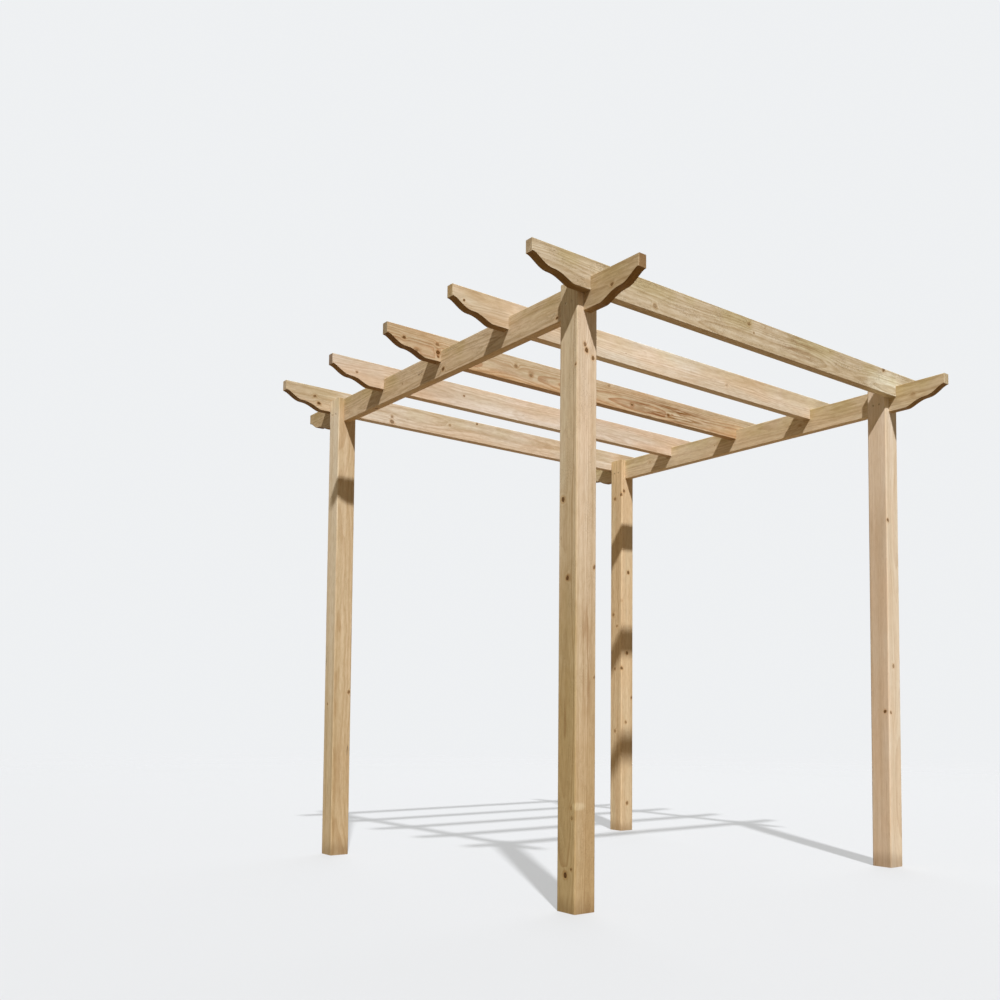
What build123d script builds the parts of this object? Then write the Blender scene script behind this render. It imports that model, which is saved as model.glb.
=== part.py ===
import os

from build123d import *

# Garden pergola of square posts, two beams and five rafters across them.
# X runs along the rafters, Y along the beams, Z up.
# The origin is on the ground at the middle of the plan, and sizes are in millimetres.

# Posts
post_width = 90
post_height = 2113
post_edge_radius = 6

# Timber of the beams and rafters, which share one section
timber_depth = 108
timber_thickness = 35
timber_edge_bevel = 2
beam_length = 2275
rafter_length = 2360
rafter_count = 5

# Overhangs, from the middle of a post to the tip of the timber that it carries
beam_overhang = 305
rafter_overhang = 270

# Joints
joint_clearance = 0.5
notch_depth = 49

# Sunk holes for the screws: two in each outer face of a post's top, one down into each crossing
screw_hole_diameter = 9.5
screw_hole_depth = 3
screw_drop = 72
screw_spread = 30

# Tail that both ends of each beam and rafter are cut to: two ogees with a shoulder between
tail_length = 184
tip_depth = 44
shoulder_reach = 88
shoulder_rise = 28
brow_lead = 0.28
brow_trail = 0.45
heel_lead = 0.47
heel_trail = 0.27

# Places that follow from the sizes above
post_spacing_x = rafter_length - 2 * rafter_overhang
post_spacing_y = beam_length - 2 * beam_overhang
beam_underside = post_height - timber_depth
rafter_underside = beam_underside + timber_depth - notch_depth
rafter_top = rafter_underside + timber_depth
joint_width = timber_thickness + 2 * joint_clearance
end_row = post_spacing_y / 2 + post_width / 2 + timber_thickness / 2
row_pitch = 2 * end_row / (rafter_count - 1)


def ogee(start, end, lead, trail):
    """Draw an S-shaped curve that leaves its start level and meets its end level."""
    run = end[0] - start[0]
    Bezier(start, (start[0] + lead * run, start[1]), (end[0] - trail * run, end[1]), end)


def timber_outline(length, underside):
    """Outline the side of a timber: straight along the top, with a tail below at each end."""
    tip = length / 2
    top = underside + timber_depth
    brow = (tip, top - tip_depth)
    shoulder = (tip - shoulder_reach, underside + shoulder_rise)
    heel = (tip - tail_length, underside)
    with BuildLine() as outline:
        Line((0, top), (tip, top))
        Line((tip, top), brow)
        ogee(brow, shoulder, brow_lead, brow_trail)
        ogee(shoulder, heel, heel_lead, heel_trail)
        Line(heel, (0, underside))
        mirror(about=Plane.YZ)
    return outline.edges()


os.makedirs("parts", exist_ok=True)

# Each post stands on the ground, and the slot in its top takes a beam down to the slot's floor.
for side, post_x in (("left", -post_spacing_x / 2), ("right", post_spacing_x / 2)):
    for end, post_y in (("front", -post_spacing_y / 2), ("back", post_spacing_y / 2)):
        with BuildPart() as post:
            with BuildSketch(Plane.XY) as section:
                with Locations((post_x, post_y)):
                    Rectangle(post_width, post_width)
            extrude(amount=post_height)
            fillet(post.edges().filter_by(Axis.Z), radius=post_edge_radius)
            with BuildSketch(Plane.XY.offset(post_height)) as slot:
                with Locations((post_x, post_y)):
                    Rectangle(joint_width, post_width)
            extrude(amount=-timber_depth, mode=Mode.SUBTRACT)
            for way in (-1, 1):
                with BuildSketch(Plane.YZ.offset(post_x + way * post_width / 2)) as screw_holes:
                    screw_level = post_height - screw_drop
                    near_edge = post_y - screw_spread / 2
                    far_edge = post_y + screw_spread / 2
                    with Locations((near_edge, screw_level), (far_edge, screw_level)):
                        Circle(screw_hole_diameter / 2)
                extrude(amount=-way * screw_hole_depth, mode=Mode.SUBTRACT)
        post.part.label = f"post_{end}_{side}"
        export_step(post.part, f"parts/{post.part.label}.step")

# A beam lies in the slots of the two posts on its side, flush with their tops.
for side, beam_x in (("left", -post_spacing_x / 2), ("right", post_spacing_x / 2)):
    with BuildPart() as beam:
        with BuildSketch(Plane.YZ.offset(beam_x)) as beam_side:
            make_face(timber_outline(beam_length, beam_underside))
        extrude(amount=timber_thickness / 2, both=True)
        chamfer(beam.faces().filter_by(Axis.X).edges(), length=timber_edge_bevel)
    beam.part.label = f"beam_{side}"
    export_step(beam.part, f"parts/{beam.part.label}.step")

# The rafters are notched over both beams. The end ones lie against the outer faces of the posts.
for number in range(1, rafter_count + 1):
    row = -end_row + (number - 1) * row_pitch
    with BuildPart() as rafter:
        with BuildSketch(Plane.XZ.offset(-row)) as rafter_side:
            make_face(timber_outline(rafter_length, rafter_underside))
        extrude(amount=timber_thickness / 2, both=True)
        chamfer(rafter.faces().filter_by(Axis.Y).edges(), length=timber_edge_bevel)
        with BuildSketch(Plane.XY.offset(rafter_underside)) as notches:
            with Locations((-post_spacing_x / 2, row), (post_spacing_x / 2, row)):
                Rectangle(joint_width, timber_thickness)
        extrude(amount=notch_depth, mode=Mode.SUBTRACT)
        with BuildSketch(Plane.XY.offset(rafter_top)) as screw_holes:
            with Locations((-post_spacing_x / 2, row), (post_spacing_x / 2, row)):
                Circle(screw_hole_diameter / 2)
        extrude(amount=-screw_hole_depth, mode=Mode.SUBTRACT)
    rafter.part.label = f"rafter_{number}"
    export_step(rafter.part, f"parts/{rafter.part.label}.step")
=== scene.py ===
from math import cos, pi, radians, sin, tau

import bmesh
import bpy
from mathutils import Matrix, Vector


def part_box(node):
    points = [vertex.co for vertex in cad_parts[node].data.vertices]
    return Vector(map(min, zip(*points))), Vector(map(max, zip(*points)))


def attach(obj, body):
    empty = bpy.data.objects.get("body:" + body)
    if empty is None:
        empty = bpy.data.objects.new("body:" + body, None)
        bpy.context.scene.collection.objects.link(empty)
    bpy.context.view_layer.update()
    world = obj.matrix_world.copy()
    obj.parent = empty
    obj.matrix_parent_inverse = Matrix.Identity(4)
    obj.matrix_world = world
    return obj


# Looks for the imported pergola: sawn softwood on its own solids, and the screws in their holes.
# Lengths are in metres, in the frame of the solids: X along the rafters, Y along the beams, Z up.
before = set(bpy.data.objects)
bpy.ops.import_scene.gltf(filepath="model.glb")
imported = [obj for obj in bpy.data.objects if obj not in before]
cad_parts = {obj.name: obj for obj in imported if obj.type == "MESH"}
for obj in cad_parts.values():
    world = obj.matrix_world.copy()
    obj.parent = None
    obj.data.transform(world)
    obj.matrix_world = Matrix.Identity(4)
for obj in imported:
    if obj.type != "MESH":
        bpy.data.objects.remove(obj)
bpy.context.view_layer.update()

X_AXIS = Vector((1, 0, 0))
Z_AXIS = Vector((0, 0, 1))


# Small helpers for node trees

# Types of a group's inputs, by how many numbers they hold
SOCKETS = {1: "NodeSocketFloat", 3: "NodeSocketVector", 4: "NodeSocketColor"}

# A Mix node has sockets of the same name for each kind of data, so those for colours go by number
MIX_SHARE = 0
MIX_FIRST = 6
MIX_SECOND = 7
MIX_RESULT = 2


def shade(red, green, blue):
    """Give the linear colour of three display values from 0 to 255."""
    linear = []
    for value in (red, green, blue):
        share = value / 255
        linear.append(share / 12.92 if share <= 0.04045 else ((share + 0.055) / 1.055) ** 2.4)
    return (*linear, 1.0)


class Bench:
    """Adds nodes to one tree. An input is given as a plain value or as another node's output."""

    def __init__(self, tree):
        self.tree = tree

    def feed(self, node, inputs):
        """Set or link the inputs of a node that is there already."""
        for key, value in inputs.items():
            if isinstance(value, bpy.types.NodeSocket):
                self.tree.links.new(value, node.inputs[key])
            else:
                node.inputs[key].default_value = value

    def node(self, kind, inputs, **settings):
        """Add a node. Most of the calls below add one as well, and give back its output or outputs."""
        node = self.tree.nodes.new("ShaderNode" + kind)
        for setting, value in settings.items():
            setattr(node, setting, value)
        self.feed(node, inputs)
        return node

    def math(self, operation, *values):
        return self.node("Math", dict(enumerate(values)), operation=operation).outputs[0]

    def times(self, first, *others):
        """Multiply masks and strengths with each other."""
        product = first
        for other in others:
            product = self.math("MULTIPLY", product, other)
        return product

    def vector(self, operation, *values):
        return self.node("VectorMath", dict(enumerate(values)), operation=operation).outputs[0]

    def length(self, vector):
        return self.node("VectorMath", {0: vector}, operation="LENGTH").outputs["Value"]

    def dot(self, first, second):
        return self.node("VectorMath", {0: first, 1: second}, operation="DOT_PRODUCT").outputs["Value"]

    def parts(self, vector):
        return self.node("SeparateXYZ", {0: vector}).outputs

    def whole(self, x, y, z):
        return self.node("CombineXYZ", {0: x, 1: y, 2: z}).outputs[0]

    def rise(self, value, start, end, low=0.0, high=1.0):
        """Go smoothly from low to high while value goes from start to end."""
        inputs = {"Value": value, "From Min": start, "From Max": end, "To Min": low, "To Max": high}
        return self.node("MapRange", inputs, interpolation_type="SMOOTHSTEP").outputs[0]

    def fall(self, value, start, end):
        """Go smoothly from 1 to 0 while value goes from start to end."""
        return self.rise(value, start, end, 1.0, 0.0)

    def noise(self, place, scale, detail=2.0, roughness=0.5):
        inputs = {"Vector": place, "Scale": scale, "Detail": detail, "Roughness": roughness}
        return self.node("TexNoise", inputs).outputs

    def drawn_out(self, place, across, along, detail, roughness=0.5):
        """Noise with so many waves to the metre across a timber, and so many along it."""
        stretched = self.vector("MULTIPLY", place, (across, across, along))
        return self.noise(stretched, 1.0, detail, roughness)[0]

    def sway(self, place, scale, detail, reach):
        """A shift that wanders each way, by up to half of reach."""
        middle = (0.5, 0.5, 0.5)
        wander = self.vector("SUBTRACT", self.noise(place, scale, detail)[1], middle)
        return self.vector("MULTIPLY", wander, reach)

    def mix(self, share, first, second, blend="MIX"):
        inputs = {MIX_SHARE: share, MIX_FIRST: first, MIX_SECOND: second}
        return self.node("Mix", inputs, data_type="RGBA", blend_type=blend).outputs[MIX_RESULT]

    def blend_shaders(self, share, first, second):
        return self.node("MixShader", {0: share, 1: first, 2: second}).outputs[0]

    def group(self, tree, inputs):
        return self.node("Group", inputs, node_tree=tree).outputs

    def close_group(self, results):
        """Lead the results out of a group by name, and give back the group's tree."""
        for label, socket in results.items():
            kind = "NodeSocketColor" if socket.type == "RGBA" else "NodeSocketFloat"
            self.tree.interface.new_socket(label, in_out="OUTPUT", socket_type=kind)
        self.feed(self.tree.nodes.new("NodeGroupOutput"), results)
        return self.tree


def new_group(name, takes):
    """Start a shader node group whose inputs have the given names and first values."""
    tree = bpy.data.node_groups.new(name, "ShaderNodeTree")
    for label, value in takes.items():
        width = len(value) if hasattr(value, "__len__") else 1
        socket = tree.interface.new_socket(label, in_out="INPUT", socket_type=SOCKETS[width])
        socket.default_value = value
    return Bench(tree), tree.nodes.new("NodeGroupInput").outputs


def new_material(name):
    """Start a material, with a bench for its tree and its plain shader."""
    material = bpy.data.materials.new(name)
    material.use_nodes = True
    return material, Bench(material.node_tree), material.node_tree.nodes["Principled BSDF"]


# Shared effects, each a node group. Spot is a point in the frame of the solids, and Place is the
# same point in its timber's own frame: from the middle of the timber, with Z along it.

def growth_rings():
    """Rings round a pith that wanders along the timber, so faces and end grain agree."""
    bench, given = new_group("growth rings", {
        "Place": (0, 0, 0), "Pith": (0, 0, 0), "Ring Width": 0.004, "Swell": 0.0, "Seed": 0.0})
    place, seed = given["Place"], given["Seed"]
    drift_reach = (0.05, 0.05, 0)
    ripple_reach = (0.014, 0.014, 0)
    drift = bench.sway(bench.whole(seed, 0.0, bench.parts(place)[2]), 1.3, 1.0, drift_reach)
    near = bench.vector("ADD", bench.vector("MULTIPLY", place, (9, 9, 1.6)), bench.whole(0.0, seed, 0.0))
    ripple = bench.sway(near, 1.5, 2.0, ripple_reach)
    arm = bench.vector("ADD", bench.vector("SUBTRACT", place, given["Pith"]), drift)
    arm = bench.vector("MULTIPLY", bench.vector("ADD", arm, ripple), (1, 1, 0))
    radius = bench.math("ADD", bench.length(arm), given["Swell"])
    age = bench.math("DIVIDE", radius, given["Ring Width"])
    uneven = bench.noise(bench.whole(bench.times(age, 0.31), seed, 0.0), 1.0, 1.0)[0]
    age = bench.math("MULTIPLY_ADD", uneven, 2.4, age)
    season = bench.math("FRACT", age)
    # Late wood darkens through the season, and ends sharply with it
    late = bench.times(bench.rise(season, 0.25, 0.9), bench.fall(season, 0.93, 1.0))
    year = bench.node("TexWhiteNoise", {"W": bench.math("ADD", bench.math("FLOOR", age), seed)},
                      noise_dimensions="1D").outputs["Value"]
    return bench.close_group({"Late Wood": late, "Year": year})


def branch_knot():
    """One branch through the timber. Chained, it keeps the nearest knot and adds up how the grain swells."""
    bench, given = new_group("branch knot", {
        "Spot": (0, 0, 0), "Centre": (0, 0, 0), "Branch": (0, 1, 0), "Radius": 0.01, "Own Tone": 1.0,
        "Nearest": 99.0, "Tone": 0.0, "Swell": 0.0})
    # A branch starts thin at this depth behind its knot, at this share of the knot's radius
    root_depth = 0.06
    root_girth = 0.08
    # How much of the knot's radius the rings swell by, and how fast that dies away round it
    swell_share = 1.3
    swell_fade = 0.16
    arm = bench.vector("SUBTRACT", given["Spot"], given["Centre"])
    out = bench.dot(arm, given["Branch"])
    girth = bench.times(given["Radius"], bench.rise(out, -root_depth, 0.0, root_girth, 1.0))
    reach = bench.length(bench.vector("CROSS_PRODUCT", arm, given["Branch"]))
    share = bench.math("DIVIDE", reach, girth)
    bulge = bench.math("EXPONENT", bench.times(bench.math("POWER", share, 2.0), -swell_fade))
    swell = bench.math("MULTIPLY_ADD", bulge, bench.times(girth, swell_share), given["Swell"])
    closer = bench.math("LESS_THAN", share, given["Nearest"])
    change = bench.math("SUBTRACT", given["Own Tone"], given["Tone"])
    tone = bench.math("MULTIPLY_ADD", closer, change, given["Tone"])
    nearest = bench.math("MINIMUM", share, given["Nearest"])
    return bench.close_group({"Nearest": nearest, "Tone": tone, "Swell": swell})


# The marks of wood fibre: waves to the metre across and along the timber, the noise's detail and
# roughness, and the levels between which the mark comes up
FIBRE_MARKS = {
    "Fibre": (520, 14, 3.0, 0.65, 0.30, 0.70),
    "Streak": (62, 1.1, 4.0, 0.55, 0.34, 0.66),
    "Band": (26, 0.5, 2.0, 0.55, 0.36, 0.64),
    "Blotch": (9, 2.2, 2.0, 0.55, 0.36, 0.64),
    "Fleck": (210, 26, 2.0, 0.55, 0.71, 0.76),
    "Mottle": (130, 24, 3.0, 0.60, 0.40, 0.62),
    "Speck": (420, 150, 3.0, 0.65, 0.46, 0.70),
    "Cluster": (24, 9, 3.0, 0.55, 0.40, 0.66),
}


def wood_fibre():
    """Fine fibre, broad streaks, soft blotches and clustered specks, drawn out along the timber."""
    bench, given = new_group("wood fibre", {"Place": (0, 0, 0), "Seed": 0.0})
    place = bench.vector("ADD", given["Place"], bench.whole(given["Seed"], given["Seed"], 0.0))
    marks = {}
    for label, (across, along, detail, roughness, start, end) in FIBRE_MARKS.items():
        marks[label] = bench.rise(bench.drawn_out(place, across, along, detail, roughness), start, end)
    marks["Speck"] = bench.times(marks["Speck"], marks.pop("Cluster"))
    return bench.close_group(marks)


def grain_patch():
    """A soft patch round one place in a timber, and streaks in it that run with the grain."""
    bench, given = new_group("grain patch", {
        "Place": (0, 0, 0), "Centre": (0, 0, 0), "Reach": (1, 1, 1), "Seed": 0.0})
    arm = bench.vector("DIVIDE", bench.vector("SUBTRACT", given["Place"], given["Centre"]), given["Reach"])
    place = bench.vector("ADD", given["Place"], bench.whole(given["Seed"], 0.0, given["Seed"]))
    streak = bench.drawn_out(place, 100, 8, 3.0, 0.6)
    ragged = bench.math("MULTIPLY_ADD", bench.math("SUBTRACT", streak, 0.5), 0.7, bench.length(arm))
    zone = bench.fall(bench.length(arm), 0.35, 1.15)
    streaks = bench.times(zone, bench.rise(streak, 0.42, 0.60))
    return bench.close_group({"Patch": bench.fall(ragged, 0.5, 1.15), "Streaks": streaks})


def drying_checks():
    """Thin cracks that run with the grain, here and there."""
    bench, given = new_group("drying checks", {"Place": (0, 0, 0), "Amount": 0.5, "Seed": 0.0})
    place = bench.vector("ADD", given["Place"], bench.whole(0.0, given["Seed"], given["Seed"]))
    line = bench.math("ABSOLUTE", bench.math("SUBTRACT", bench.drawn_out(place, 34, 1.9, 1.0), 0.5))
    crack = bench.fall(line, 0.002, 0.008)
    limit = bench.math("SUBTRACT", 0.78, bench.times(given["Amount"], 0.25))
    over = bench.math("SUBTRACT", bench.drawn_out(place, 11, 3.2, 1.0), limit)
    return bench.close_group({"Check": bench.times(crack, bench.rise(over, 0.0, 0.05))})


def eased_arris():
    """How near a point is to the long edges of its timber, roughened by handling; there the wood is
    lightened, partly for wear and partly as a painted highlight on the rounded edge.
    """
    bench, given = new_group("eased arris", {"Place": (0, 0, 0), "Half Size": (0.045, 0.045, 0)})
    # Wear and painted highlight all over within the first distance from the edge, and nowhere beyond the
    # second
    wear_and_highlight_full, wear_and_highlight_none = 0.002, 0.010
    inner = bench.vector("SUBTRACT", given["Half Size"], bench.vector("ABSOLUTE", given["Place"]))
    gap = bench.length(bench.vector("MULTIPLY", inner, (1, 1, 0)))
    wear_and_highlight_breakup = bench.rise(bench.drawn_out(given["Place"], 60, 22, 3.0), 0.35, 0.6)
    edge = bench.fall(gap, wear_and_highlight_full, wear_and_highlight_none)
    return bench.close_group({"Arris": bench.times(edge, wear_and_highlight_breakup)})


def saw_marks():
    """Ridges that the band saw leaves across the curved tails."""
    bench, given = new_group("saw marks", {"Place": (0, 0, 0), "Seed": 0.0})
    place = bench.vector("ADD", given["Place"], bench.whole(given["Seed"], 0.0, 0.0))
    return bench.close_group({"Ridge": bench.rise(bench.drawn_out(place, 6, 420, 2.0), 0.35, 0.65)})


def weathering():
    """Green cast on upper faces and edges, a stain that deepens downward, and soil on the feet."""
    bench, given = new_group("weathering", {
        "Spot": (0, 0, 0), "Facing": (0, 0, 1), "Top Edge": 0.0, "Seed": 0.0})
    # The cast's reach round the top edge, and the heights between which stain and soil give out
    cast_reach = 0.045
    stain_low, stain_high = -0.35, 1.4
    soil_low, soil_high = 0.055, 0.13
    spot, seed = given["Spot"], given["Seed"]
    height = bench.parts(spot)[2]
    patch = bench.noise(bench.vector("ADD", spot, bench.whole(seed, seed, seed)), 5.0, 3.0)[0]
    drop = bench.math("SUBTRACT", given["Top Edge"], height)
    brim = bench.math("ADD", drop, bench.times(patch, -2 * cast_reach))
    edge = bench.times(bench.fall(brim, -cast_reach, cast_reach), 0.9)
    up = bench.rise(bench.parts(given["Facing"])[2], 0.4, 0.9)
    green = bench.math("MAXIMUM", bench.times(edge, bench.rise(patch, 0.38, 0.58)), up)
    damp = bench.math("MULTIPLY_ADD", patch, -0.9, height)
    splash = bench.math("MULTIPLY_ADD", patch, 0.10, height)
    return bench.close_group({"Green": green, "Stain": bench.fall(damp, stain_low, stain_high),
                              "Soil": bench.fall(splash, soil_low, soil_high)})


RINGS = growth_rings()
KNOT = branch_knot()
FIBRE = wood_fibre()
PATCH = grain_patch()
CHECKS = drying_checks()
ARRIS = eased_arris()
SAW = saw_marks()
WEATHER = weathering()


# Tints that are multiplied into the colour of the wood
STREAK_TINT = shade(204, 182, 148)
BAND_TINT = shade(216, 204, 174)
BLOTCH_TINT = shade(248, 214, 172)
FIBRE_TINT = shade(200, 180, 148)
MOTTLE_TINT = shade(210, 192, 160)
RESIN_TINT = shade(188, 154, 112)
SPECK_TINT = shade(150, 130, 100)
GREEN_TINT = shade(226, 224, 182)
HALO_TINT = shade(220, 180, 110)
# Painted shade under the tails of beams and rafters, partly also the darker rough-sawn wood of the curve
TAIL_PAINTED_SHADE = shade(170, 146, 98)
STAIN_TINT = shade(215, 204, 174)
SOIL_TINT = shade(150, 128, 100)

# How much lighter a patch of pale sapwood is than the wood round it, as a factor on each linear colour
SAPWOOD_LIFT = (1.52, 1.80, 2.20, 1.0)

# Colours that cover the wood
FLECK_BROWN = shade(150, 112, 70)
BRANCH_DARK = shade(84, 52, 16)
BRANCH_LIGHT = shade(118, 78, 28)
KNOT_RIM = shade(56, 34, 8)
# A lighter colour along the arrises: partly wear, partly a painted highlight on the rounded edges
ARRIS_WEAR_AND_HIGHLIGHT = shade(232, 214, 182)
CRACK_BROWN = shade(70, 46, 28)

# How far the curved tail of a beam or rafter reaches in from the tip, and between which distances from
# the tip the saw marks on the curve, the painted shade under the tail and the stain round the tip fade out
TAIL_LENGTH = 0.184
SAWN_START, SAWN_END = TAIL_LENGTH - 0.006, TAIL_LENGTH
SHADE_START, SHADE_END = TAIL_LENGTH - 0.02, TAIL_LENGTH + 0.22
TIP_START, TIP_END = 0.20, 0.32


def sawn_softwood():
    """The whole skin of a sawn and planed timber: colour, roughness and height."""
    bench, given = new_group("sawn softwood", {
        "Spot": (0, 0, 0), "Place": (0, 0, 0), "Facing": (0, 0, 1), "Length Axis": (0, 0, 1),
        "Half Size": (0.045, 0.045, 0), "Top Edge": 0.0, "Pith": (0, 0, 0), "Ring Width": 0.004,
        "Knot Nearest": 99.0, "Knot Tone": 0.0, "Knot Swell": 0.0, "Early Wood": (1, 1, 1, 1),
        "Side Wood And Light": (1, 1, 1, 1), "Late Wood": (1, 1, 1, 1), "End Grain": (1, 1, 1, 1), "Figure": 0.6,
        "Coarseness": 1.0, "Warmth": 0.3, "Green Cast": 0.5, "Cracking": 0.4, "Stain": 0.0, "Specks": 0.2,
        "Resin Centre": (9, 9, 9), "Resin Reach": (1, 1, 1), "Resin Strength": 0.0,
        "Pale Centre": (9, 9, 9), "Pale Reach": (1, 1, 1), "Pale Strength": 0.0, "Seed": 0.0})
    place, facing, seed, coarse = given["Place"], given["Facing"], given["Seed"], given["Coarseness"]
    rings = bench.group(RINGS, {"Place": place, "Pith": given["Pith"], "Seed": seed,
                                "Ring Width": given["Ring Width"], "Swell": given["Knot Swell"]})
    fibre = bench.group(FIBRE, {"Place": place, "Seed": seed})
    resin = bench.group(PATCH, {"Place": place, "Centre": given["Resin Centre"],
                                "Reach": given["Resin Reach"], "Seed": seed})["Streaks"]
    pale = bench.group(PATCH, {"Place": place, "Centre": given["Pale Centre"],
                               "Reach": given["Pale Reach"], "Seed": seed})["Patch"]
    crack = bench.group(CHECKS, {"Place": place, "Amount": given["Cracking"], "Seed": seed})["Check"]
    arris = bench.group(ARRIS, {"Place": place, "Half Size": given["Half Size"]})["Arris"]
    weather = bench.group(WEATHER, {"Spot": given["Spot"], "Facing": facing,
                                    "Top Edge": given["Top Edge"], "Seed": seed})

    # Where the point lies: on an end or a cheek of the timber, turned to a side, facing down, or near a tip
    cut = bench.math("ABSOLUTE", bench.dot(facing, given["Length Axis"]))
    end = bench.rise(cut, 0.60, 0.85)
    cheek = bench.math("SUBTRACT", 1.0, end)
    sideways = bench.math("ABSOLUTE", bench.parts(facing)[0])
    below = bench.fall(bench.parts(facing)[2], -0.6, -0.3)
    half_length = bench.parts(given["Half Size"])[2]
    from_tip = bench.math("SUBTRACT", half_length, bench.math("ABSOLUTE", bench.parts(place)[2]))
    sawn_curve = bench.times(below, bench.fall(from_tip, SAWN_START, SAWN_END))
    # Painted shade: downward faces round the tail, and on past it toward the joint, are darkened; partly the
    # darker rough-sawn curve
    painted_tail_shade = bench.times(below, bench.fall(from_tip, SHADE_START, SHADE_END))

    # Parts of a knot, by the distance from its middle as a share of its radius
    knot, tone = given["Knot Nearest"], given["Knot Tone"]
    heart = bench.fall(knot, 0.8, 1.0)
    rim = bench.times(bench.rise(knot, 0.62, 0.95), bench.fall(knot, 1.0, 1.25))
    halo = bench.times(bench.math("MULTIPLY_ADD", tone, 0.7, 0.3), bench.fall(knot, 0.9, 2.6))
    branch_year = bench.rise(bench.math("PINGPONG", knot, 0.14), 0.0, 0.14)
    branch_wood = bench.mix(branch_year, BRANCH_DARK, BRANCH_LIGHT)

    # Posts are stained from the ground up, and beams and rafters from their tips
    upright = bench.parts(given["Length Axis"])[2]
    tip_stain = bench.fall(from_tip, TIP_START, TIP_END)
    stain = bench.math("SUBTRACT", weather["Stain"], tip_stain)
    stain = bench.math("MULTIPLY_ADD", upright, stain, tip_stain)
    stain = bench.times(stain, bench.math("MULTIPLY_ADD", sideways, 0.45, 0.92), cheek)

    ring_depth = bench.math("MULTIPLY_ADD", rings["Year"], 0.7, 0.3)
    late = bench.times(rings["Late Wood"], ring_depth, given["Figure"])
    late = bench.math("MULTIPLY_ADD", end, bench.times(rings["Late Wood"], 0.4), late)
    # Left and right faces take the side shade: partly painted light, lighter or darker than the front by how
    # the light fell on them
    early = bench.mix(bench.rise(sideways, 0.3, 0.9), given["Early Wood"], given["Side Wood And Light"])
    colour = bench.mix(late, early, given["Late Wood"])

    # The layers of colour over that, first to last: mask, strength, colour, and how it is laid on
    layers = (
        (bench.times(fibre["Streak"], coarse), 0.30, STREAK_TINT, "MULTIPLY"),
        (fibre["Band"], 0.32, BAND_TINT, "MULTIPLY"),
        (bench.times(fibre["Blotch"], given["Warmth"]), 0.90, BLOTCH_TINT, "MULTIPLY"),
        (fibre["Fibre"], 0.12, FIBRE_TINT, "MULTIPLY"),
        (fibre["Fleck"], 0.50, FLECK_BROWN, "MIX"),
        (bench.times(fibre["Mottle"], coarse), 0.34, MOTTLE_TINT, "MULTIPLY"),
        (resin, given["Resin Strength"], RESIN_TINT, "MULTIPLY"),
        (fibre["Speck"], given["Specks"], SPECK_TINT, "MULTIPLY"),
        (bench.times(weather["Green"], cheek), given["Green Cast"], GREEN_TINT, "MULTIPLY"),
        (pale, given["Pale Strength"], SAPWOOD_LIFT, "MULTIPLY"),
        (halo, 0.60, HALO_TINT, "MULTIPLY"),
        (bench.times(heart, tone), 0.90, branch_wood, "MIX"),
        (bench.times(rim, tone), 0.85, KNOT_RIM, "MIX"),
        (end, 1.00, given["End Grain"], "MULTIPLY"),
        # painted shade under the tail, partly the darker rough-sawn curve
        (painted_tail_shade, 1.00, TAIL_PAINTED_SHADE, "MULTIPLY"),
        (stain, given["Stain"], STAIN_TINT, "MULTIPLY"),
        # the arrises are lightened: partly wear, partly a painted highlight
        (arris, 0.12, ARRIS_WEAR_AND_HIGHLIGHT, "MIX"),
        (crack, 0.75, CRACK_BROWN, "MIX"),
        (weather["Soil"], 0.40, SOIL_TINT, "MULTIPLY"),
    )
    for mask, strength, tint, blend in layers:
        colour = bench.mix(bench.times(mask, strength), colour, tint, blend)

    rough = bench.math("MULTIPLY_ADD", late, -0.10, 0.70)
    for mask, change in ((heart, -0.06), (end, 0.14), (crack, 0.20)):
        rough = bench.math("MULTIPLY_ADD", mask, change, rough)

    ridges = bench.times(bench.group(SAW, {"Place": place, "Seed": seed})["Ridge"], sawn_curve)
    height = bench.times(fibre["Fibre"], 0.22)
    for mask, change in ((late, 0.25), (heart, 0.25), (rim, -0.40), (crack, -2.0), (ridges, 0.50)):
        height = bench.math("MULTIPLY_ADD", mask, change, height)
    return bench.close_group({"Colour": colour, "Roughness": rough, "Height": height})


SOFTWOOD = sawn_softwood()


# The timbers: how each one was cut, how it is coloured, and where its knots come to the surface

# Turns from a timber's own frame to that of the solids, by the way that the timber runs
ALONG_X = Matrix(((0, 0, 1), (1, 0, 0), (0, 1, 0)))
ALONG_Y = Matrix(((-1, 0, 0), (0, 0, 1), (0, 1, 0)))
ALONG_Z = Matrix.Identity(3)

# A timber's faces: the axis that each one crosses, and the corner of the box that it touches
FACES = {"left": (0, "low"), "right": (0, "high"), "front": (1, "low"), "back": (1, "high"),
         "under": (2, "low")}

# Late wood, and the end grain of most timbers
TAN = shade(184, 150, 108)
OLIVE = shade(172, 146, 104)
RUST = shade(176, 124, 76)
PALE_END = shade(240, 238, 228)

# How far a branch leans along its timber for each metre out of it
KNOT_SLANT = 0.75

# The reach over which a knot's outline strays
KNOT_RAGGEDNESS = (0.006, 0.006, 0.006)

# The relief of the grain, and the dull gloss of dry wood
RELIEF_DEPTH = 0.0012
RELIEF_STRENGTH = 0.6
WOOD_GLOSS = 0.18


def patch(centre, reach, strength):
    """A patch in a timber, in the timber's own frame: its middle, its reach each way, and its strength."""
    return {"Centre": centre, "Reach": reach, "Strength": strength}


NO_PATCH = patch(centre=(9, 9, 9), reach=(1, 1, 1), strength=0.0)
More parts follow.
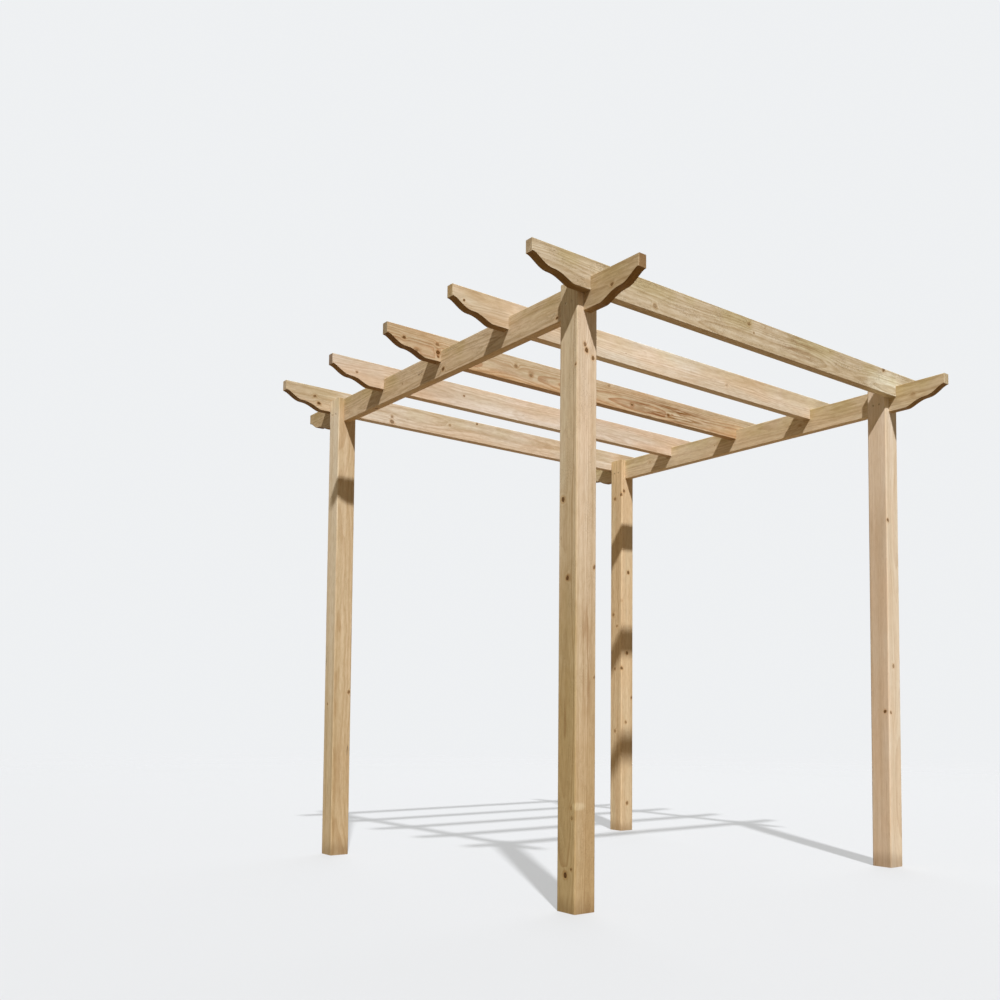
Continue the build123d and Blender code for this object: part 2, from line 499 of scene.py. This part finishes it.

# For each timber: the way that it runs, the pith's place across it and the width of a ring, its shades (a
# post's side shade is partly painted light), how strongly each mark of the wood shows, and its patches. Knots
# are listed by the face that they show on, each with two places on that face in the frame of the solids, its
# radius and its tone.
TIMBERS = {
    "post_front_left": dict(
        turn=ALONG_Z, pith=(-0.14, 0.01), ring=0.0052, seed=3.1,
        early=shade(240, 226, 209), side=shade(238, 227, 204), late=TAN, end=PALE_END,
        figure=0.5, coarse=0.65, warmth=0.15, green=0.1, cracking=0.3, specks=0.4, stain=1.0,
        resin=patch(centre=(0.002, -0.045, -0.22), reach=(0.032, 0.02, 0.26), strength=0.5),
        pale=patch(centre=(-0.03, -0.045, -0.709), reach=(0.034, 0.02, 0.015), strength=0.4),
        knots={
            "front": [(-0.921, 1.892, 0.005, 0.7), (-0.913, 1.873, 0.0065, 1.0), (-0.884, 1.852, 0.005, 0.9),
                      (-0.874, 1.141, 0.0045, 0.7), (-0.873, 0.772, 0.003, 0.5)],
            "left": [(-0.869, 1.818, 0.0035, 0.7), (-0.809, 1.37, 0.0065, 0.95), (-0.834, 1.102, 0.0055, 1.0),
                     (-0.858, 0.342, 0.005, 0.3), (-0.861, 0.309, 0.004, 0.4), (-0.858, 0.143, 0.0035, 0.6),
                     (-0.83, 0.122, 0.0065, 1.0)]}),
    "post_front_right": dict(
        turn=ALONG_Z, pith=(0.03, 0.12), ring=0.0046, seed=11.7,
        early=shade(237, 226, 210), side=shade(233, 216, 196), late=TAN, end=PALE_END,
        figure=0.36, coarse=0.4, warmth=0.2, green=0.3, cracking=0.3, specks=0.1,
        pale=patch(centre=(-0.045, 0.02, 0.79), reach=(0.02, 0.08, 0.35), strength=0.33),
        knots={
            "front": [(0.874, 1.517, 0.005, 1.0), (0.902, 0.873, 0.006, 0.6), (0.879, 0.669, 0.004, 0.8)],
            "right": [(-0.85, 1.02, 0.007, 0.6)],
            "back": [(0.9, 0.8, 0.008, 0.6)],
            "left": [(-0.858, 0.675, 0.005, 1.0)]}),
    "post_back_left": dict(
        turn=ALONG_Z, pith=(-0.03, 0.13), ring=0.0055, seed=23.9,
        early=shade(224, 207, 180), side=shade(254, 246, 229), late=TAN, end=PALE_END,
        figure=0.45, coarse=0.7, warmth=0.1, green=0.4, cracking=0.5, specks=0.2, stain=0.5,
        knots={
            "front": [(-0.877, 0.743, 0.005, 0.7)],
            "right": [(0.83, 0.55, 0.007, 0.6)],
            "back": [(-0.91, 1.3, 0.008, 0.6)],
            "left": [(0.846, 0.687, 0.004, 0.5)]}),
    "post_back_right": dict(
        turn=ALONG_Z, pith=(0.10, 0.05), ring=0.0044, seed=31.3,
        early=shade(232, 216, 188), side=shade(241, 224, 192), late=TAN, end=PALE_END,
        figure=0.42, coarse=0.75, warmth=0.25, green=0.25, cracking=0.4, specks=0.15,
        knots={
            "front": [(0.85, 1.921, 0.008, 1.0), (0.882, 1.931, 0.006, 0.8), (0.917, 1.464, 0.007, 1.0),
                      (0.866, 1.302, 0.005, 0.2), (0.908, 1.002, 0.007, 0.9), (0.867, 0.917, 0.006, 1.0),
                      (0.945, 0.749, 0.005, 0.8), (0.9, 0.609, 0.006, 0.6), (0.911, 0.153, 0.007, 0.7)],
            "left": [(0.844, 1.892, 0.006, 0.6), (0.854, 1.223, 0.006, 0.6), (0.826, 1.156, 0.005, 0.5),
                     (0.84, 0.911, 0.005, 0.6), (0.839, 0.558, 0.006, 0.5)]}),
    "beam_left": dict(
        turn=ALONG_Y, pith=(0.10, -0.02), ring=0.0048, seed=41.2,
        early=shade(232, 216, 192), late=OLIVE, end=shade(187, 170, 148),
        figure=0.5, coarse=1.0, warmth=0.1, green=0.6, cracking=0.35, specks=0.35, stain=0.28,
        knots={
            "left": [(-1.015, 2.05, 0.005, 0.7), (-0.739, 2.023, 0.004, 1.0), (-0.034, 2.032, 0.006, 1.0)],
            "right": [(0.3, 2.05, 0.007, 0.6)],
            "under": [(-0.91, 0.52, 0.006, 0.6)]}),
    "beam_right": dict(
        turn=ALONG_Y, pith=(-0.09, 0.03), ring=0.0050, seed=53.6,
        early=shade(238, 225, 200), late=TAN, end=shade(236, 243, 248),
        figure=0.45, coarse=0.9, warmth=0.15, green=0.6, cracking=0.35, specks=0.2, stain=0.12,
        knots={
            "left": [(-0.994, 2.057, 0.005, 0.1), (-0.407, 2.051, 0.006, 0.2), (0.592, 2.064, 0.006, 0.2)],
            "right": [(0.15, 2.06, 0.008, 0.6)]}),
    "rafter_1": dict(
        turn=ALONG_X, pith=(-0.11, -0.03), ring=0.0046, seed=61.4,
        early=shade(222, 212, 193), late=OLIVE, end=shade(255, 255, 253),
        figure=0.55, coarse=1.0, warmth=0.1, green=0.6, cracking=0.35, specks=0.75,
        resin=patch(centre=(-0.0175, 0.0, 0.2), reach=(0.05, 0.08, 0.15), strength=0.5),
        pale=patch(centre=(-0.0175, -0.042, 0.845), reach=(0.05, 0.105, 0.18), strength=0.66),
        knots={
            "front": [(-0.622, 2.088, 0.006, 0.45), (-0.11, 2.148, 0.006, 0.5), (-0.081, 2.12, 0.003, 0.6),
                      (-0.014, 2.156, 0.003, 0.3), (0.408, 2.156, 0.003, 0.0), (0.798, 2.165, 0.006, 0.9)],
            "back": [(0.3, 2.1, 0.007, 0.6)]}),
    "rafter_2": dict(
        turn=ALONG_X, pith=(-0.10, 0.04), ring=0.0050, seed=71.8,
        early=shade(239, 231, 221), late=TAN, end=shade(226, 221, 194),
        figure=0.42, coarse=0.8, warmth=0.4, green=0.3, cracking=0.3, specks=0.15, stain=0.33,
        pale=patch(centre=(-0.0175, 0.0, -0.27), reach=(0.05, 0.12, 0.36), strength=0.22),
        knots={
            "front": [(-1.13, 2.123, 0.003, 1.0), (0.292, 2.108, 0.006, 0.2)],
            "back": [(-0.3, 2.11, 0.007, 0.6)]}),
    "rafter_3": dict(
        turn=ALONG_X, pith=(-0.07, -0.02), ring=0.0058, seed=83.5,
        early=shade(219, 206, 184), late=RUST, end=shade(222, 236, 242),
        figure=0.75, coarse=1.0, warmth=0.6, green=0.15, cracking=0.5, specks=0.3,
        resin=patch(centre=(-0.0175, -0.012, 0.42), reach=(0.03, 0.05, 0.34), strength=1.0),
        knots={
            "front": [(-1.103, 2.126, 0.005, 1.0), (-1.043, 2.088, 0.005, 0.5), (-0.945, 2.134, 0.005, 0.6),
                      (-0.942, 2.101, 0.0065, 1.0), (-0.94, 2.084, 0.004, 0.9), (-0.542, 2.133, 0.006, 0.6),
                      (-0.459, 2.111, 0.006, 0.6), (0.002, 2.16, 0.005, 0.4), (0.15, 2.098, 0.004, 1.0),
                      (0.392, 2.096, 0.005, 0.6)]}),
    "rafter_4": dict(
        turn=ALONG_X, pith=(0.10, -0.03), ring=0.0050, seed=97.1,
        early=shade(234, 223, 213), late=TAN, end=shade(189, 181, 174),
        figure=0.42, coarse=0.8, warmth=0.4, green=0.2, cracking=0.3, specks=0.1,
        pale=patch(centre=(-0.0175, 0.0, -0.12), reach=(0.05, 0.12, 0.42), strength=0.16),
        knots={
            "front": [(-1.062, 2.114, 0.004, 0.6), (-0.497, 2.122, 0.003, 0.9)],
            "back": [(0.25, 2.1, 0.008, 0.6)]}),
    "rafter_5": dict(
        turn=ALONG_X, pith=(-0.12, 0.02), ring=0.0048, seed=103.7,
        early=shade(234, 225, 214), late=TAN, end=PALE_END,
        figure=0.45, coarse=0.9, warmth=0.3, green=0.3, cracking=0.3, specks=0.2, stain=0.55,
        knots={
            "front": [(-1.034, 2.125, 0.005, 0.6), (-1.013, 2.096, 0.006, 1.0), (-0.614, 2.106, 0.005, 0.6),
                      (-0.614, 2.08, 0.008, 0.7), (-0.269, 2.126, 0.004, 0.4), (-0.098, 2.163, 0.004, 0.9)],
            "back": [(0.45, 2.12, 0.007, 0.6)]}),
}


def knot_places(knots, corners):
    """Go through a timber's knots, each with its place on the face that it is listed under."""
    for face, marks in knots.items():
        axis, corner = FACES[face]
        for *where, radius, tone in marks:
            where.insert(axis, corners[corner][axis])
            yield Vector(where), radius, tone


def branch_way(where, middle, half, turn):
    """The way that a branch runs: out of the face that the knot is on, or of the corner if it is near one."""
    share = turn.transposed() @ (where - middle)
    out = Vector(((share.x / half[0]) ** 3, (share.y / half[1]) ** 3, 0)).normalized()
    return (turn @ out + turn @ Z_AXIS * KNOT_SLANT).normalized()


def finish_timber(name, turn, pith, ring, seed, early, late, end, figure, coarse, warmth, green, cracking,
                  specks, knots, side=None, stain=0.0, resin=NO_PATCH, pale=NO_PATCH):
    """Give one timber its own cut of softwood. Unless it has a side shade, its sides are as its front; a side
    shade is partly painted light, which makes the left and right faces lighter or darker than the front.
    """
    low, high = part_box(name)
    middle = (low + high) / 2
    half = [abs(size) for size in turn.transposed() @ ((high - low) / 2)]
    material, bench, skin = new_material(name + "_softwood")
    spot = bench.node("TexCoord", {}).outputs["Object"]
    facing = bench.node("NewGeometry", {}).outputs["Normal"]
    place = bench.node("Mapping", {"Vector": spot, "Location": middle, "Rotation": turn.to_euler()},
                       vector_type="TEXTURE").outputs[0]
    ragged = bench.vector("ADD", spot, bench.sway(spot, 95.0, 2.0, KNOT_RAGGEDNESS))
    chain = {"Nearest": 99.0, "Tone": 0.0, "Swell": 0.0}
    for where, radius, tone in knot_places(knots, {"low": low, "high": high}):
        found = bench.group(KNOT, {
            "Spot": ragged, "Centre": where, "Branch": branch_way(where, middle, half, turn),
            "Radius": radius, "Own Tone": tone, **chain})
        chain = {label: found[label] for label in chain}
    wood = bench.group(SOFTWOOD, {
        "Spot": spot, "Place": place, "Facing": facing, "Length Axis": turn @ Z_AXIS,
        "Half Size": half, "Top Edge": high.z, "Pith": (*pith, 0), "Ring Width": ring,
        "Knot Nearest": chain["Nearest"], "Knot Tone": chain["Tone"], "Knot Swell": chain["Swell"],
        "Early Wood": early, "Side Wood And Light": side or early, "Late Wood": late, "End Grain": end,
        "Figure": figure, "Coarseness": coarse, "Warmth": warmth, "Green Cast": green,
        "Cracking": cracking, "Stain": stain, "Specks": specks, "Seed": seed,
        **{"Resin " + part: value for part, value in resin.items()},
        **{"Pale " + part: value for part, value in pale.items()}})
    relief = bench.node("Bump", {
        "Height": wood["Height"], "Distance": RELIEF_DEPTH, "Strength": RELIEF_STRENGTH}).outputs[0]
    bench.feed(skin, {"Base Color": wood["Colour"], "Roughness": wood["Roughness"], "Normal": relief,
                      "Specular IOR Level": WOOD_GLOSS})
    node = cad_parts[name]
    node.data.materials.clear()
    node.data.materials.append(material)


for timber, cut in TIMBERS.items():
    finish_timber(timber, **cut)


# Screws, sunk in the holes of the solids

# The holes in the solids: their depth, and how far apart and how far below its top a post has them
HOLE_DEPTH = 0.003
SCREW_SPREAD = 0.030
SCREW_DROP = 0.072

# The head, and its flat top, bevel and foot as shares of its radius
SCREW_RADIUS = 0.0041
TOP_SHARE = 0.84
RIM_SHARE = 0.95
FOOT_SHARE = 0.55

# Depths below the mouth of the hole
TOP_DEPTH = 0.0008
RIM_DEPTH = TOP_DEPTH + 0.0001
BRIM_DEPTH = TOP_DEPTH + 0.0005
RECESS_DEPTH = TOP_DEPTH + 0.0017

# The cross recess: how far its arms reach and half their width, at its mouth and at its floor
RECESS_MOUTH = (0.0024, 0.00055)
RECESS_FLOOR = (0.0013, 0.00035)

# Where the driver left the first screw of a piece, and how much further each next one is turned, in radians
FIRST_TWIST = 0.4
NEXT_TWIST = 1.1


def circle(radius, count=32):
    """Points of a circle."""
    return [(radius * cos(tau * i / count), radius * sin(tau * i / count)) for i in range(count)]


def cross(arm, half):
    """Points of a cross whose four arms have the given reach and half width."""
    corner = [(arm, -half), (arm, half), (half, half)]
    return [(x * cos(a) - y * sin(a), x * sin(a) + y * cos(a))
            for a in (0, pi / 2, pi, 3 * pi / 2) for x, y in corner]


def add_screw(mesh, mouth, outward, twist):
    """Add one countersunk head with a cross recess, whose hole opens at mouth."""
    turn = outward.to_track_quat("Z", "Y").to_matrix().to_4x4() @ Matrix.Rotation(twist, 4, "Z")
    seat = Matrix.Translation(mouth) @ turn

    def ring(points, depth):
        return [mesh.verts.new(seat @ Vector((x, y, -depth))) for x, y in points]

    def wall(lower, upper):
        for i in range(len(lower)):
            j = (i + 1) % len(lower)
            mesh.faces.new((lower[i], lower[j], upper[j], upper[i]))

    foot = ring(circle(SCREW_RADIUS * FOOT_SHARE), HOLE_DEPTH)
    brim = ring(circle(SCREW_RADIUS), BRIM_DEPTH)
    rim = ring(circle(SCREW_RADIUS * RIM_SHARE), RIM_DEPTH)
    top = ring(circle(SCREW_RADIUS * TOP_SHARE), TOP_DEPTH)
    recess_mouth = ring(cross(*RECESS_MOUTH), TOP_DEPTH)
    recess_floor = ring(cross(*RECESS_FLOOR), RECESS_DEPTH)
    wall(foot, brim)
    wall(brim, rim)
    wall(rim, top)
    wall(recess_mouth, recess_floor)
    mesh.faces.new(recess_floor)
    mesh.faces.new(reversed(foot))
    outline = []
    for loop in (top, recess_mouth):
        outline += [mesh.edges.get((loop[i], loop[(i + 1) % len(loop)])) for i in range(len(loop))]
    bmesh.ops.triangle_fill(mesh, edges=outline, use_beauty=True)


def coated_steel():
    """Dull yellow-brown coating of an outdoor wood screw, rubbed where the driver turned it."""
    material, bench, skin = new_material("coated_screw_steel")
    spot = bench.node("TexCoord", {}).outputs["Object"]
    rubbed = bench.rise(bench.noise(spot, 900.0, 3.0)[0], 0.4, 0.62)
    rust = bench.rise(bench.noise(spot, 420.0, 3.0)[0], 0.52, 0.62)
    colour = bench.mix(rubbed, shade(158, 132, 88), shade(206, 184, 140))
    colour = bench.mix(bench.times(rust, 0.55), colour, shade(112, 66, 38))
    bench.feed(skin, {"Base Color": colour, "Roughness": bench.rise(rust, 0.0, 1.0, 0.38, 0.75),
                      "Metallic": bench.rise(rust, 0.0, 1.0, 0.5, 0.1)})
    return material


def screw_piece(name, screws, steel):
    """Make one piece of several screws, each given by its hole's mouth and the way it faces."""
    mesh = bmesh.new()
    for number, (mouth, outward) in enumerate(screws):
        add_screw(mesh, Vector(mouth), outward, FIRST_TWIST + NEXT_TWIST * number)
    bmesh.ops.recalc_face_normals(mesh, faces=mesh.faces)
    data = bpy.data.meshes.new(name)
    mesh.to_mesh(data)
    mesh.free()
    piece = bpy.data.objects.new(name, data)
    bpy.context.scene.collection.objects.link(piece)
    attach(piece, "root")
    piece.data.materials.append(steel)


def post_screws():
    """Where the screws go that hold the beams in the posts."""
    screws = []
    for name in sorted(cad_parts):
        if name.startswith("post"):
            low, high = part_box(name)
            for face, outward in ((low.x, -X_AXIS), (high.x, X_AXIS)):
                for offset in (-SCREW_SPREAD / 2, SCREW_SPREAD / 2):
                    screws.append(((face, (low.y + high.y) / 2 + offset, high.z - SCREW_DROP), outward))
    return screws


def rafter_screws():
    """Where the screws go that hold the rafters down on the beams."""
    screws = []
    for name in sorted(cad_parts):
        if name.startswith("rafter"):
            low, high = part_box(name)
            for beam in ("beam_left", "beam_right"):
                beam_low, beam_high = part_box(beam)
                mouth = ((beam_low.x + beam_high.x) / 2, (low.y + high.y) / 2, high.z)
                screws.append((mouth, Z_AXIS))
    return screws


STEEL = coated_steel()
screw_piece("post_screws", post_screws(), STEEL)
screw_piece("rafter_screws", rafter_screws(), STEEL)


# Floor, light and camera

# The floor's size, how far below the feet it lies, and where it fades out
FLOOR_RADIUS = 40
FLOOR_DROP = 0.0003
FADE_START = 3.5
FADE_END = 14.0

# The floor's colour in the light that it throws back on the wood, and its colour and glow as it is seen
FLOOR_BOUNCE = (0.24, 0.152, 0.06, 1)
FLOOR_SEEN = (0.333, 0.345, 0.368, 1)
FLOOR_GLOW = (0.98, 0.99, 1.0, 1)
FLOOR_GLOW_STRENGTH = 0.38

# The room: the light that it gives, and the backdrop as it is seen
ROOM_LIGHT = (0.96, 0.89, 0.72, 1)
ROOM_STRENGTH = 0.22
BACKDROP = (0.86, 0.875, 0.89, 1)

# The viewpoint of the photograph, and its yaw, pitch and roll in radians
CAMERA_PLACE = (-3.1735, -3.3819, 0.6459)
CAMERA_TURN = (0.6505, 0.0583, 0.0093)


def seen_directly(bench):
    """1 where the camera sees a surface itself, in gloss or through glass, and 0 in its light on others."""
    rays = bench.node("LightPath", {}).outputs
    reflected = bench.math("MAXIMUM", rays["Is Glossy Ray"], rays["Is Transmission Ray"])
    return bench.math("MAXIMUM", rays["Is Camera Ray"], reflected)


def pale_floor():
    """A pale disc that keeps the shadow and fades out into the background."""
    bpy.ops.mesh.primitive_circle_add(vertices=96, radius=FLOOR_RADIUS, fill_type="NGON",
                                      location=(0, 0, -FLOOR_DROP))
    floor = bpy.context.object
    floor.name = "floor"
    material, bench, skin = new_material("pale_floor")
    seen = seen_directly(bench)
    bench.feed(skin, {"Base Color": bench.mix(seen, FLOOR_BOUNCE, FLOOR_SEEN), "Roughness": 0.9,
                      "Specular IOR Level": 0.1, "Emission Color": FLOOR_GLOW,
                      "Emission Strength": bench.times(seen, FLOOR_GLOW_STRENGTH)})
    spot = bench.node("TexCoord", {}).outputs["Object"]
    fade = bench.rise(bench.length(spot), FADE_START, FADE_END)
    clear = bench.node("BsdfTransparent", {}).outputs[0]
    surface = bench.blend_shaders(fade, skin.outputs[0], clear)
    bench.feed(material.node_tree.nodes["Material Output"], {"Surface": surface})
    floor.data.materials.append(material)


def add_sun(name, way, energy, angle, colour):
    """Add one distant lamp that shines along the given way, as wide as angle in degrees."""
    lamp = bpy.data.objects.new(name, bpy.data.lights.new(name, "SUN"))
    lamp.data.energy = energy
    lamp.data.angle = radians(angle)
    lamp.data.color = colour
    lamp.rotation_mode = "QUATERNION"
    lamp.rotation_quaternion = Vector(way).to_track_quat("-Z", "Y")
    bpy.context.scene.collection.objects.link(lamp)


def studio_light():
    """One key from the front left, a weak broad fill from behind, and a plain room's warm light all round."""
    add_sun("key_light", way=(0.43, 0.75, -1), energy=4.05, angle=1.8, colour=(1.0, 0.985, 0.96))
    add_sun("rear_fill", way=(-0.62, -0.5, -0.5), energy=1.1, angle=60, colour=(0.97, 0.985, 1.0))
    world = bpy.data.worlds.new("pale_room")
    world.use_nodes = True
    bench = Bench(world.node_tree)
    room = world.node_tree.nodes["Background"]
    bench.feed(room, {"Color": ROOM_LIGHT, "Strength": ROOM_STRENGTH})
    backdrop = bench.node("Background", {"Color": BACKDROP, "Strength": 1.0})
    surface = bench.blend_shaders(seen_directly(bench), room.outputs[0], backdrop.outputs[0])
    bench.feed(world.node_tree.nodes["World Output"], {"Surface": surface})
    bpy.context.scene.world = world


def photo_camera():
    """The viewpoint of the photograph: low, to the front left, with the horizon low in the frame."""
    yaw, pitch, roll = CAMERA_TURN
    forward = Vector((sin(yaw) * cos(pitch), cos(yaw) * cos(pitch), sin(pitch)))
    level = Vector((cos(yaw), -sin(yaw), 0))
    upright = level.cross(forward)
    right = cos(roll) * level + sin(roll) * upright
    up = cos(roll) * upright - sin(roll) * level
    camera = bpy.data.objects.new("camera", bpy.data.cameras.new("camera"))
    camera.data.sensor_width = 36
    camera.data.lens = 36.65
    camera.data.shift_y = 0.155
    camera.data.clip_end = 200
    turn = Matrix((right, up, -forward)).transposed().to_4x4()
    camera.matrix_world = Matrix.Translation(CAMERA_PLACE) @ turn
    bpy.context.scene.collection.objects.link(camera)
    bpy.context.scene.camera = camera


pale_floor()
studio_light()
photo_camera()
bpy.context.scene.view_settings.view_transform = "Standard"
